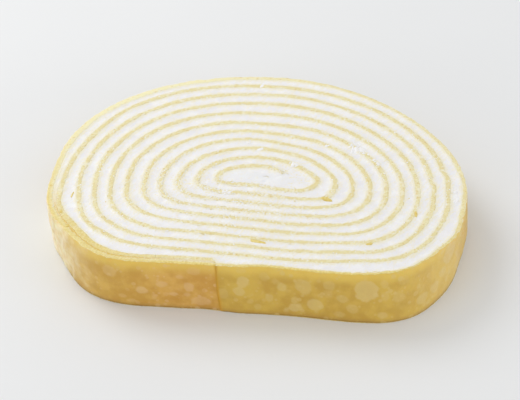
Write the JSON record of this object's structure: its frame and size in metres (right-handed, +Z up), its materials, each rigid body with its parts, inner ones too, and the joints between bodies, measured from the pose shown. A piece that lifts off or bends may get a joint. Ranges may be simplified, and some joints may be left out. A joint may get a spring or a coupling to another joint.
{
  "type": "mille crepe cake slice",
  "caption": "Slice of mille crepe roll lying on its cut face: a thin golden crepe wound in a spiral with white whipped cream between its turns, flat at the front and round at the back",
  "frame": {"origin": "under the middle of the slice's box, on the surface it rests on", "axes": "+Z up, through the slice's height; the flat front with the seam faces -Y; +X to the right; +Y to the round back"},
  "size_m": [0.1278, 0.0958, 0.018],
  "materials": {
    "crepe": "satin",
    "cream": "satin"
  },
  "bodies": {
    "root": {"crepe": "crepe", "cream": "cream"}
  },
  "joints": []
}
